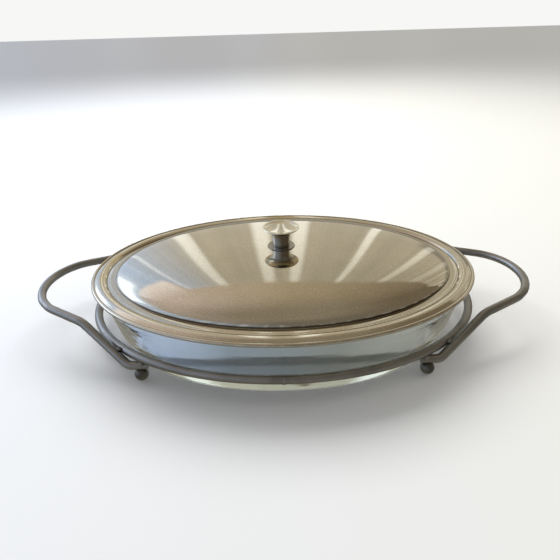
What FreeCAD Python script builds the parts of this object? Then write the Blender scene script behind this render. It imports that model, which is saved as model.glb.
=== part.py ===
"""Oval covered serving dish: domed steel lid, clear glass dish and bent-wire stand.

Millimetres, +Z up, X along the dish, Y across it. The four ball feet stand on z = 0.
"""
import FreeCAD, Part
import math
import os

from FreeCAD import Matrix, Vector

os.makedirs("parts", exist_ok=True)

# ---------------------------------------------------------------- glass dish
DISH_LENGTH = 332.4          # over the rim
DISH_WIDTH = 232.4
DISH_HEIGHT = 49.6
DISH_WALL = 5.0
DISH_FLOOR = 6.0
WALL_SQUARENESS = 2.1        # 2 is a plain ellipse, more is squarer
SHOULDER_SQUARENESS = 2.06
RIM_SQUARENESS = 2.0
SEAT_HEIGHT = 17.7           # underside of the dish to the middle of the ring
RIM_BAND = 6.6               # upright part of the wall at the rim
FLARE_HEIGHT = 8.0           # from the shoulder to the upright rim
SHOULDER_INSET_X = 6.7       # how far each level lies inside the rim
SHOULDER_INSET_Y = 0.9
SEAT_INSET_X = 12.2
SEAT_INSET_Y = 2.0
FOOT_INSET_X = 16.7
FOOT_INSET_Y = 3.6
DISH_FOOT_RADIUS = 4.0       # outside, round the underside
DISH_FLOOR_RADIUS = 6.0      # inside, round the floor
DISH_RIM_RADIUS = 2.1

# ---------------------------------------------------------------- lid
LID_SHEET = 1.0
LID_SIDE_CLEARANCE = 0.6     # between the hem and the outside of the rim
LID_SEAT_CLEARANCE = 0.56    # between the bead and the top of the rim
HEM_RADIUS = 1.6             # rolled edge
HEM_DROP = 2.4               # bead crown down to the middle of the hem
HEM_TUCK_ANGLE = 25.0        # above level, where the rolled edge meets the sheet's underside
BEAD_CROWN = 7.5             # inwards from the lid's outer edge
BEAD_SHOULDER = 3.4          # crown to the start of each shoulder
BEAD_SHOULDER_DROP = 0.5
BEAD_HALF_WIDTH = 5.1        # crown to the inner side of the bead
BEAD_SIDE_DROP = 1.8
GROOVE = 5.9                 # crown to the bottom of the groove
GROOVE_DROP = 2.35
FLAT_DROP = 2.1              # crown to the flat ring
FLAT_START = 8.8             # crown to where the ring runs level
BRIM_WIDTH = 20.5            # outer edge to the foot of the dome
BRIM_LAP = 1.5               # the flat ring runs on this far under the dome
DOME_HEIGHT = 20.0           # above the flat ring
SCREW_HOLE_CLEARANCE = 0.25

# ---------------------------------------------------------------- knob and its screw
KNOB_HEIGHT = 17.4
KNOB_RIM_DIAMETER = 32.0
KNOB_NECK_DIAMETER = 15.0
KNOB_NECK_HEIGHT = 6.2
KNOB_FOOT_DIAMETER = 14.6
KNOB_BELLY_DIAMETER = 15.8
KNOB_BELLY_HEIGHT = 2.9
KNOB_FOOT_LEAN = 11.3        # degrees outwards from upright, at the foot of the barrel
KNOB_RIM_EDGE = 0.9
KNOB_DISH_DEPTH = 2.6        # hollow in the top
KNOB_BORE_DEPTH = 11.0
DISC_DIAMETER = 23.5
DISC_THICKNESS = 0.6
SCREW_DIAMETER = 4.0
SCREW_LENGTH = 12.5
SCREW_HEAD_DIAMETER = 8.0
SCREW_HEAD_HEIGHT = 2.4
SCREW_HEAD_ROUND = 0.9       # radius round the pan head
SCREW_POINT = 0.8            # chamfer at the tip
SCREW_SLOT_WIDTH = 1.0
SCREW_SLOT_DEPTH = 1.1
BORE_CLEARANCE = 0.1
WASHER_DIAMETER = 12.0
WASHER_THICKNESS = 1.0
LOCK_WASHER_DIAMETER = 7.6
LOCK_WASHER_THICKNESS = 1.1
LOCK_WASHER_SLIT = 0.8
WASHER_SEAT_GAP = 0.06       # flat washer under the curved sheet

# ---------------------------------------------------------------- wire stand
WIRE = 7.0
SEAT_CLEARANCE = 0.4         # ring to the front and back of the dish
END_GAP = 12.5               # ring to the ends of the dish
BALL = 11.0
BALL_FLAT = 2.9              # worn flat under each ball
BALL_SINK = 0.6              # how far the wire sits into the ball
BALL_OUTSET = 3.1            # ring crossing to the ball
CROSSING_ANGLE = 49.7        # round the ring, where a foot run passes under it
FOOT_TAIL = 3.0              # wire end inside the crossing
FOOT_RUN = 12.1              # crossing to the bend of the leg
LEG_ANGLE = 40.6             # round the ring, where the leg lies against it
ROOT_RISE = 14.8             # ring to the root of the handle
HANDLE_REACH = 49.0          # ring end to the tip of the handle
HANDLE_RISE = 3.3            # root to tip
GRIP_TUCK = 11.5             # the grip is this much narrower than the roots, each side
GRIP_DEPTH = 43.5            # tip of the grip to its widest place
FOOT_BEND = 9.0              # bend radii at the middle of the wire
ROOT_BEND = 28.0
WELD_RADIUS = 2.4
WELD_OFFSET = 3.0            # touching point to the middle of the weld bead
WELD_GAP = 0.03              # hairline between welded wires
BUTT_WELD_WIDTH = 2.0
BUTT_WELD_PROUD = 0.2

# ---------------------------------------------------------------- levels and outlines
RIM_X = DISH_LENGTH / 2.0
RIM_Y = DISH_WIDTH / 2.0
WIRE_R = WIRE / 2.0
BALL_R = BALL / 2.0
BALL_Z = math.sqrt(BALL_R ** 2 - (BALL_FLAT / 2.0) ** 2)
FOOT_Z = BALL_Z + BALL_R + WIRE_R - BALL_SINK
RING_Z = FOOT_Z + WIRE + WELD_GAP
RING_X = RIM_X - SEAT_INSET_X + END_GAP + WIRE_R
RING_Y = RIM_Y - SEAT_INSET_Y + SEAT_CLEARANCE + WIRE_R
DISH_Z = RING_Z - SEAT_HEIGHT
RIM_Z = DISH_Z + DISH_HEIGHT
LID_X = RIM_X + LID_SIDE_CLEARANCE + 2.0 * HEM_RADIUS
LID_Y = RIM_Y + LID_SIDE_CLEARANCE + 2.0 * HEM_RADIUS
CROWN_Z = RIM_Z + LID_SEAT_CLEARANCE + LID_SHEET
FLAT_Z = CROWN_Z - FLAT_DROP
APEX_Z = FLAT_Z + DOME_HEIGHT
KNOB_Z = APEX_Z + DISC_THICKNESS
UP = Vector(0, 0, 1)
OUTLINE_POINTS = 72          # on each outline of the dish
GRIP_POINTS = 13             # on the oval of the grip
LEVEL_TOLERANCE = 0.01


# ---------------------------------------------------------------- helpers
def superellipse(half_x, half_y, z, squareness):
    """Closed smooth outline of the dish at one level."""
    power = 2.0 / squareness
    points = []
    for i in range(OUTLINE_POINTS):
        angle = 2.0 * math.pi * i / OUTLINE_POINTS
        cos = math.cos(angle)
        sin = math.sin(angle)
        x = half_x * math.copysign(abs(cos) ** power, cos)
        y = half_y * math.copysign(abs(sin) ** power, sin)
        points.append(Vector(x, y, z))
    curve = Part.BSplineCurve()
    curve.interpolate(Points=points, PeriodicFlag=True)
    return Part.Wire([curve.toShape()])


def ellipse_wire(half_x, half_y, z):
    """Closed ellipse, long axis along X."""
    ellipse = Part.Ellipse(Vector(0, 0, z), half_x, half_y)
    return Part.Wire([ellipse.toShape()])


def cylinder(diameter, bottom, top):
    """Upright cylinder on the knob's axis."""
    return Part.makeCylinder(diameter / 2.0, top - bottom, Vector(0, 0, bottom))


def rounded(points, radii):
    """Wire through the points with a bend of the given radius at each inner one."""
    edges = []
    start = points[0]
    for i, radius in enumerate(radii):
        corner = points[i + 1]
        before = (corner - points[i]).normalize()
        after = (points[i + 2] - corner).normalize()
        half_turn = before.getAngle(after) / 2.0
        reach = radius * math.tan(half_turn)
        bend_in = corner - before * reach
        bend_out = corner + after * reach
        inward = (after - before).normalize()
        middle = corner + inward * (radius / math.cos(half_turn) - radius)
        edges.append(Part.LineSegment(start, bend_in).toShape())
        edges.append(Part.Arc(bend_in, middle, bend_out).toShape())
        start = bend_out
    edges.append(Part.LineSegment(start, points[-1]).toShape())
    return edges


def sweep_round(path, radius, start, direction):
    """Round wire of the given radius along a path."""
    section = Part.Wire([Part.makeCircle(radius, start, direction)])
    return path.makePipeShell([section], True, False)


# ---------------------------------------------------------------- dish
def dish_levels(inset):
    """Outlines of the wall, from the underside to the rim, moved inwards by inset."""
    levels = [
        (0.0, FOOT_INSET_X, FOOT_INSET_Y, WALL_SQUARENESS),
        (SEAT_HEIGHT, SEAT_INSET_X, SEAT_INSET_Y, WALL_SQUARENESS),
        (DISH_HEIGHT - RIM_BAND - FLARE_HEIGHT, SHOULDER_INSET_X, SHOULDER_INSET_Y, SHOULDER_SQUARENESS),
        (DISH_HEIGHT - RIM_BAND, 0.0, 0.0, RIM_SQUARENESS),
        (DISH_HEIGHT, 0.0, 0.0, RIM_SQUARENESS),
    ]
    return [(RIM_X - dx - inset, RIM_Y - dy - inset, DISH_Z + z, power) for z, dx, dy, power in levels]


def loft(levels):
    """Solid through the levels, straight from each to the next."""
    return Part.makeLoft([superellipse(*level) for level in levels], True, True)


def level_edges(shape, z):
    """Edges that lie wholly at one height."""
    edges = []
    for edge in shape.Edges:
        box = edge.BoundBox
        if abs(box.ZMin - z) < LEVEL_TOLERANCE and abs(box.ZMax - z) < LEVEL_TOLERANCE:
            edges.append(edge)
    return edges


def make_dish():
    """Glass dish with a level floor, a tapering wall and a rounded rim."""
    outer = loft(dish_levels(0.0))
    outer = outer.makeFillet(DISH_FOOT_RADIUS, level_edges(outer, DISH_Z))
    inner = loft(dish_levels(DISH_WALL))
    floor = Part.makeBox(DISH_LENGTH, DISH_WIDTH, DISH_FLOOR, Vector(-RIM_X, -RIM_Y, DISH_Z))
    inner = inner.cut(floor)
    inner = inner.makeFillet(DISH_FLOOR_RADIUS, level_edges(inner, DISH_Z + DISH_FLOOR))
    dish = outer.cut(inner)
    return dish.makeFillet(DISH_RIM_RADIUS, level_edges(dish, RIM_Z))


# ---------------------------------------------------------------- lid
def brim_section():
    """Closed outline of the sheet from the rolled hem to under the dome, at the +X end."""
    hem = Vector(LID_X - HEM_RADIUS, 0, CROWN_Z - HEM_DROP)
    crown = LID_X - BEAD_CROWN
    skin = [
        hem + UP * HEM_RADIUS,
        Vector(crown + BEAD_SHOULDER, 0, CROWN_Z - BEAD_SHOULDER_DROP),
        Vector(crown, 0, CROWN_Z),
        Vector(crown - BEAD_SHOULDER, 0, CROWN_Z - BEAD_SHOULDER_DROP),
        Vector(crown - BEAD_HALF_WIDTH, 0, CROWN_Z - BEAD_SIDE_DROP),
        Vector(crown - GROOVE, 0, CROWN_Z - GROOVE_DROP),
        Vector(crown - FLAT_START, 0, FLAT_Z),
    ]
    top = Part.BSplineCurve()
    top.interpolate(Points=skin, InitialTangent=Vector(-1, 0, 0), FinalTangent=Vector(-1, 0, 0))
    under = []
    for point in skin[1:]:
        along = top.tangent(top.parameter(point))[0]
        under.append(point + Vector(-along.z, 0, along.x) * LID_SHEET)
    tuck_turn = math.radians(HEM_TUCK_ANGLE)
    tuck = hem + Vector(-math.cos(tuck_turn), 0, math.sin(tuck_turn)) * HEM_RADIUS
    bottom = Part.BSplineCurve()
    bottom.interpolate(Points=[tuck] + under)
    end_x = LID_X - BRIM_WIDTH - BRIM_LAP
    end_top = Vector(end_x, 0, FLAT_Z)
    end_bottom = Vector(end_x, 0, FLAT_Z - LID_SHEET)
    edges = [
        top.toShape(),
        Part.LineSegment(skin[-1], end_top).toShape(),
        Part.LineSegment(end_top, end_bottom).toShape(),
        Part.LineSegment(end_bottom, under[-1]).toShape(),
        bottom.toShape(),
        Part.Arc(tuck, hem - UP * HEM_RADIUS, hem + Vector(HEM_RADIUS, 0, 0)).toShape(),
        Part.Arc(
            hem + Vector(HEM_RADIUS, 0, 0),
            hem + Vector(1, 0, 1).normalize() * HEM_RADIUS,
            skin[0],
        ).toShape(),
    ]
    return Part.Wire(Part.__sortEdges__(edges))


def half_ellipsoid(half_x, half_y, height, z):
    """Upper half of an ellipsoid standing on a level plane."""
    ball = Part.makeSphere(1.0, Vector(0, 0, 0), UP, 0, 90, 360)
    matrix = Matrix()
    matrix.scale(half_x, half_y, height)
    matrix.move(Vector(0, 0, z))
    return ball.transformGeometry(matrix)


def make_lid():
    """Pressed lid: rolled hem, bead over the rim, flat ring and low dome."""
    pipe = Part.BRepOffsetAPI.MakePipeShell(ellipse_wire(LID_X, LID_Y, FLAT_Z))
    pipe.setBiNormalMode(UP)
    pipe.add(brim_section())
    pipe.build()
    pipe.makeSolid()
    brim = pipe.shape()
    dome_x = LID_X - BRIM_WIDTH
    dome_y = LID_Y - BRIM_WIDTH
    base_z = FLAT_Z - LID_SHEET / 2.0
    rise = APEX_Z - base_z
    outside = half_ellipsoid(dome_x, dome_y, rise, base_z)
    inside = half_ellipsoid(dome_x - LID_SHEET, dome_y - LID_SHEET, rise - LID_SHEET, base_z)
    dome = outside.cut(inside)
    hole = cylinder(SCREW_DIAMETER + 2.0 * SCREW_HOLE_CLEARANCE, FLAT_Z, APEX_Z + LID_SHEET)
    return brim.fuse(dome).cut(hole)


# ---------------------------------------------------------------- knob and fixings
def make_knob():
    """Turned knob: barrel foot, waist, trumpet flare and a hollow top."""
    foot = KNOB_FOOT_DIAMETER / 2.0
    rim = KNOB_RIM_DIAMETER / 2.0
    top = KNOB_Z + KNOB_HEIGHT
    neck = KNOB_NECK_DIAMETER / 2.0
    lean = math.radians(KNOB_FOOT_LEAN)
    belly = Part.BSplineCurve()
    belly.interpolate(
        Points=[
            Vector(foot, 0, KNOB_Z),
            Vector(KNOB_BELLY_DIAMETER / 2.0, 0, KNOB_Z + KNOB_BELLY_HEIGHT),
            Vector(neck, 0, KNOB_Z + KNOB_NECK_HEIGHT),
        ],
        InitialTangent=Vector(math.sin(lean), 0, math.cos(lean)),
        FinalTangent=UP,
    )
    spread = rim - neck
    climb = KNOB_HEIGHT - KNOB_NECK_HEIGHT - KNOB_RIM_EDGE
    curve = (spread ** 2 + climb ** 2) / (2.0 * spread)
    halfway = math.asin(climb / curve) / 2.0
    if curve < spread:
        halfway = math.pi / 2.0 - halfway
    flare = Part.Arc(
        Vector(neck, 0, KNOB_Z + KNOB_NECK_HEIGHT),
        Vector(
            neck + curve * (1.0 - math.cos(halfway)),
            0,
            KNOB_Z + KNOB_NECK_HEIGHT + curve * math.sin(halfway),
        ),
        Vector(rim, 0, top - KNOB_RIM_EDGE),
    )
    lip = rim - KNOB_RIM_EDGE
    hollow_radius = (lip ** 2 + KNOB_DISH_DEPTH ** 2) / (2.0 * KNOB_DISH_DEPTH)
    hollow_angle = math.asin(lip / hollow_radius) / 2.0
    hollow_centre = top - KNOB_DISH_DEPTH + hollow_radius
    hollow = Part.Arc(
        Vector(lip, 0, top),
        Vector(
            hollow_radius * math.sin(hollow_angle),
            0,
            hollow_centre - hollow_radius * math.cos(hollow_angle),
        ),
        Vector(0, 0, top - KNOB_DISH_DEPTH),
    )
    edges = [
        Part.LineSegment(Vector(0, 0, KNOB_Z), Vector(foot, 0, KNOB_Z)).toShape(),
        belly.toShape(),
        flare.toShape(),
        Part.LineSegment(Vector(rim, 0, top - KNOB_RIM_EDGE), Vector(lip, 0, top)).toShape(),
        hollow.toShape(),
        Part.LineSegment(Vector(0, 0, top - KNOB_DISH_DEPTH), Vector(0, 0, KNOB_Z)).toShape(),
    ]
    body = Part.Face(Part.Wire(Part.__sortEdges__(edges))).revolve(Vector(0, 0, 0), UP, 360)
    bore = cylinder(SCREW_DIAMETER + 2.0 * BORE_CLEARANCE, KNOB_Z, KNOB_Z + KNOB_BORE_DEPTH)
    return body.cut(bore)


def make_disc(diameter, bottom, top):
    """Flat ring round the screw."""
    hole = cylinder(SCREW_DIAMETER + 2.0 * SCREW_HOLE_CLEARANCE, bottom, top)
    return cylinder(diameter, bottom, top).cut(hole)


def make_screw(head_top):
    """Slotted pan-head screw, head down, shank up into the knob."""
    crown = head_top - SCREW_HEAD_HEIGHT
    tip = head_top + SCREW_LENGTH
    head = cylinder(SCREW_HEAD_DIAMETER, crown, head_top)
    head = head.makeFillet(SCREW_HEAD_ROUND, level_edges(head, crown))
    shank = cylinder(SCREW_DIAMETER, head_top, tip)
    shank = shank.makeChamfer(SCREW_POINT, level_edges(shank, tip))
    slot = Part.makeBox(
        2.0 * SCREW_HEAD_DIAMETER,
        SCREW_SLOT_WIDTH,
        2.0 * SCREW_SLOT_DEPTH,
        Vector(-SCREW_HEAD_DIAMETER, -SCREW_SLOT_WIDTH / 2.0, crown - SCREW_SLOT_DEPTH),
    )
    return head.fuse(shank).cut(slot)


# ---------------------------------------------------------------- stand
def ring_point(angle, side):
    """Point on the middle line of the right end of the ring, and the directions outwards and along it."""
    turn = math.radians(angle)
    half_weld = BUTT_WELD_WIDTH / 2.0
    half_x = RING_X - half_weld
    point = Vector(half_weld + half_x * math.cos(turn), side * RING_Y * math.sin(turn), RING_Z)
    outward = Vector(math.cos(turn) / half_x, side * math.sin(turn) / RING_Y, 0).normalize()
    along = Vector(half_x * math.sin(turn), -side * RING_Y * math.cos(turn), 0).normalize()
    return point, outward, along


def half_oval(side):
    """Middle line of one end of the ring, from the butt weld's face to the middle of the back."""
    half_weld = BUTT_WELD_WIDTH / 2.0
    oval = Part.Ellipse(Vector(side * half_weld, 0, RING_Z), RING_X - half_weld, RING_Y)
    quarter = math.pi / 2.0
    if side > 0:
        return [Part.ArcOfEllipse(oval, -quarter, 0.0).toShape(), Part.ArcOfEllipse(oval, 0.0, quarter).toShape()]
    return [
        Part.ArcOfEllipse(oval, quarter, 2.0 * quarter).toShape(),
        Part.ArcOfEllipse(oval, 2.0 * quarter, 3.0 * quarter).toShape(),
    ]


def make_ring():
    """Oval wire ring, open by the width of its butt weld at the middle of the front."""
    half_weld = BUTT_WELD_WIDTH / 2.0
    back = Part.LineSegment(Vector(half_weld, RING_Y, RING_Z), Vector(-half_weld, RING_Y, RING_Z))
    path = Part.Wire(half_oval(1) + [back.toShape()] + half_oval(-1))
    return sweep_round(path, WIRE_R, Vector(half_weld, -RING_Y, RING_Z), Vector(1, 0, 0))


def make_butt_weld():
    """Ground weld bead closing the ring, proud on the outside only."""
    start = Vector(-BUTT_WELD_WIDTH / 2.0, -RING_Y - BUTT_WELD_PROUD, RING_Z)
    return Part.makeCylinder(WIRE_R + BUTT_WELD_PROUD, BUTT_WELD_WIDTH, start, Vector(1, 0, 0))


def leg_points(side):
    """Wire end, foot bend, touching point on the leg and handle root on one side of the right end."""
    crossing = ring_point(CROSSING_ANGLE, side)[0]
    end = Vector(crossing.x - FOOT_TAIL, crossing.y, FOOT_Z)
    bend = Vector(crossing.x + FOOT_RUN, crossing.y, FOOT_Z)
    point, outward, _ = ring_point(LEG_ANGLE, side)
    beside = (point - bend).dot(outward)
    above = RING_Z - FOOT_Z
    apart = WIRE + WELD_GAP
    tilt = math.atan2(above, beside) - math.acos(-apart / math.hypot(beside, above))
    touch = point + (outward * math.cos(tilt) + UP * math.sin(tilt)) * apart
    slope = touch - bend
    root = bend + slope * ((RING_Z + ROOT_RISE - bend.z) / slope.z)
    return end, bend, touch, root


def make_handle():
    """Right handle: one wire from foot to foot, round the grip."""
    end, bend, _, root = leg_points(1)
    far_end, far_bend, _, far_root = leg_points(-1)
    tip = Vector(RING_X + HANDLE_REACH, 0, root.z + HANDLE_RISE)
    lean = (tip - Vector(root.x, 0, root.z)).normalize()
    half_width = root.y - GRIP_TUCK
    centre = tip - lean * GRIP_DEPTH
    back = (root - centre).dot(lean) / GRIP_DEPTH
    aside = root.y / half_width
    spread = math.atan2(aside, back) - math.acos(1.0 / math.hypot(back, aside))
    points = []
    for i in range(GRIP_POINTS):
        turn = spread * (1.0 - 2.0 * i / (GRIP_POINTS - 1))
        points.append(centre + lean * (GRIP_DEPTH * math.cos(turn)) + Vector(0, half_width * math.sin(turn), 0))
    meet = points[0]
    far_meet = points[-1]
    grip = Part.BSplineCurve()
    grip.interpolate(Points=points, InitialTangent=meet - root, FinalTangent=far_root - far_meet)
    near = rounded([end, bend, root, meet], [FOOT_BEND, ROOT_BEND])
    far = rounded([far_meet, far_root, far_bend, far_end], [ROOT_BEND, FOOT_BEND])
    return sweep_round(Part.Wire(near + [grip.toShape()] + far), WIRE_R, end, Vector(1, 0, 0))


def weld_bead(touch_ring, touch_wire, run, beside, solids):
    """Weld bead lying in the groove between two touching wires, on the given side."""
    across = (touch_wire - touch_ring).normalize()
    aside = across.cross(run).normalize()
    if aside.dot(beside) < 0:
        aside = aside * -1.0
    middle = (touch_ring + touch_wire) * 0.5 + aside * WELD_OFFSET
    bead = Part.makeSphere(WELD_RADIUS, middle)
    return bead.cut(solids)


def mirrored(shape):
    """The same piece at the left end."""
    return shape.mirror(Vector(0, 0, 0), Vector(1, 0, 0))


def make_stand():
    """All the pieces of the stand, by name."""
    ring = make_ring()
    handle = make_handle()
    pieces = {"support_ring": ring, "ring_butt_weld": make_butt_weld(), "right_handle": handle}
    for name, side in (("front", -1), ("rear", 1)):
        crossing, outward, along = ring_point(CROSSING_ANGLE, side)
        under = Vector(crossing.x, crossing.y, FOOT_Z)
        ball = Part.makeSphere(BALL_R, Vector(crossing.x + BALL_OUTSET, crossing.y, BALL_Z))
        ground = Part.makeBox(
            BALL, BALL, BALL, Vector(crossing.x + BALL_OUTSET - BALL_R, crossing.y - BALL_R, -BALL)
        )
        pieces["right_" + name + "_ball_foot"] = ball.cut([ground, handle])
        run = (along + Vector(1, 0, 0)).normalize()
        pieces["right_" + name + "_foot_weld"] = weld_bead(crossing, under, run, outward, [ring, handle])
        _, bend, touch, root = leg_points(side)
        point, _, along = ring_point(LEG_ANGLE, side)
        run = (along + (root - bend).normalize()).normalize()
        pieces["right_" + name + "_leg_weld"] = weld_bead(point, touch, run, UP, [ring, handle])
    for name in [key for key in pieces if key.startswith("right_")]:
        pieces[name.replace("right_", "left_")] = mirrored(pieces[name])
    return pieces


# ---------------------------------------------------------------- build and export
UNDER_APEX = APEX_Z - LID_SHEET - WASHER_SEAT_GAP
WASHER_BOTTOM = UNDER_APEX - WASHER_THICKNESS
LOCK_BOTTOM = WASHER_BOTTOM - LOCK_WASHER_THICKNESS


def make_lock_washer():
    """Split spring washer."""
    washer = make_disc(LOCK_WASHER_DIAMETER, LOCK_BOTTOM, WASHER_BOTTOM)
    slit = Part.makeBox(
        LOCK_WASHER_DIAMETER,
        LOCK_WASHER_SLIT,
        2.0 * LOCK_WASHER_THICKNESS,
        Vector(0, -LOCK_WASHER_SLIT / 2.0, LOCK_BOTTOM - LOCK_WASHER_THICKNESS / 2.0),
    )
    return washer.cut(slit)


def build():
    """Every piece by name."""
    pieces = {
        "lid_shell": make_lid(),
        "knob": make_knob(),
        "knob_base_disc": make_disc(DISC_DIAMETER, APEX_Z, KNOB_Z),
        "knob_washer": make_disc(WASHER_DIAMETER, WASHER_BOTTOM, UNDER_APEX),
        "knob_lock_washer": make_lock_washer(),
        "knob_screw": make_screw(LOCK_BOTTOM),
        "glass_dish": make_dish(),
    }
    pieces.update(make_stand())
    return pieces


for node, shape in build().items():
    shape.exportStep(os.path.join("parts", node + ".step"))
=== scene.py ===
"""Covered serving dish: polished steel lid, clear glass dish and bent-wire stand, dressed for the camera."""
import logging
import math
from dataclasses import dataclass, field
from enum import Enum
from typing import Callable, Dict, List, Sequence, Tuple

import bpy
from mathutils import Matrix, Vector


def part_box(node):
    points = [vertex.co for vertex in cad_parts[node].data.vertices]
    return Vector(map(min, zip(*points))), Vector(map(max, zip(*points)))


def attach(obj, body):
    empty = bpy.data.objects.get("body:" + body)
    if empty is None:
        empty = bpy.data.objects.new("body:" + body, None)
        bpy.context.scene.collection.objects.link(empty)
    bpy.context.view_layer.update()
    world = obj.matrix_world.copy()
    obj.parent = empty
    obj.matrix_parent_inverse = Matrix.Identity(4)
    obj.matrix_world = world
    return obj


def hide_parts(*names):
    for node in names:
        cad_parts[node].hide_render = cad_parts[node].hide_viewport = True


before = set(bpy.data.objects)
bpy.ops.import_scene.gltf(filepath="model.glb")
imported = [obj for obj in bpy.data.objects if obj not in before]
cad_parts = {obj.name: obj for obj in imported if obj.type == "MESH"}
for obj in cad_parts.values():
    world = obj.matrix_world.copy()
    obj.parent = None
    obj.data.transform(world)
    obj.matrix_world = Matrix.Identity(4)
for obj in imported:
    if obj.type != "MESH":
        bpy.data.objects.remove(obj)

LOG = logging.getLogger("serving_dish")
Colour = Tuple[float, float, float]
Stops = Sequence[Tuple[float, Colour]]
Ring = List[Vector]
Point = Tuple[float, float]
Limits = Tuple[float, float, float]
Slope = Tuple[float, float, float, float]
Socket = bpy.types.NodeSocket
Sockets = Dict[str, bpy.types.NodeSocket]
MM = 0.001


class Side(Enum):
    """Which end of the dish a piece belongs to."""

    LEFT = -1
    RIGHT = 1


# ------------------------------------------------------------------ mesh helpers
def ring_mesh(name: str, rings: Sequence[Ring], cap_first: bool, cap_last: bool) -> bpy.types.Object:
    """Skin a row of equally long closed rings into one smooth mesh.

    Args:
        name: Name of the new object.
        rings: Closed loops of points, neighbours joined by quads.
        cap_first: Close the first loop with a fan.
        cap_last: Close the last loop with a fan.

    Returns:
        The new object, linked to the scene.
    """
    count = len(rings[0])
    verts = [tuple(point) for ring in rings for point in ring]
    faces: List[Tuple[int, ...]] = []
    for row in range(len(rings) - 1):
        low, high = row * count, (row + 1) * count
        for i in range(count):
            j = (i + 1) % count
            faces.append((low + i, low + j, high + j, high + i))
    for wanted, row, flip in ((cap_first, 0, True), (cap_last, len(rings) - 1, False)):
        if wanted:
            centre = sum(rings[row], Vector()) / count
            verts.append(tuple(centre))
            hub = len(verts) - 1
            for i in range(count):
                j = (i + 1) % count
                edge = (row * count + i, row * count + j)
                faces.append((edge[1], edge[0], hub) if flip else (edge[0], edge[1], hub))
    mesh = bpy.data.meshes.new(name)
    mesh.from_pydata(verts, [], faces)
    mesh.update()
    mesh.shade_smooth()
    piece = bpy.data.objects.new(name, mesh)
    bpy.context.scene.collection.objects.link(piece)
    return piece


def smooth_run(points: Sequence[Tuple[float, ...]], steps: int) -> List[Tuple[float, ...]]:
    """Run a smooth line through points.

    Args:
        points: Points with equally many numbers each, such as (inset, height).
        steps: Pieces between two neighbouring points.

    Returns:
        The finer line, first and last points kept.
    """
    line: List[Tuple[float, ...]] = []
    last = len(points) - 1
    for i in range(last):
        before, start, end, after = points[max(i - 1, 0)], points[i], points[i + 1], points[min(i + 2, last)]
        for step in range(steps):
            t = step / steps
            line.append(tuple(
                0.5 * (2 * start[k] + (end[k] - before[k]) * t
                       + (2 * before[k] - 5 * start[k] + 4 * end[k] - after[k]) * t * t
                       + (3 * start[k] - before[k] - 3 * end[k] + after[k]) * t ** 3)
                for k in range(len(start))))
    line.append(tuple(points[last]))
    return line


def arc(centre: Point, radius: float, start: float, end: float, steps: int) -> List[Point]:
    """Points on a circular arc in a section, angles in degrees.

    Args:
        centre: Middle of the circle.
        radius: Radius of the circle.
        start: First angle.
        end: Last angle.
        steps: Pieces along the line.

    Returns:
        The points, both ends included.
    """
    return [
        (centre[0] + radius * math.cos(math.radians(start + (end - start) * i / steps)),
         centre[1] + radius * math.sin(math.radians(start + (end - start) * i / steps)))
        for i in range(steps + 1)
    ]


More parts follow.
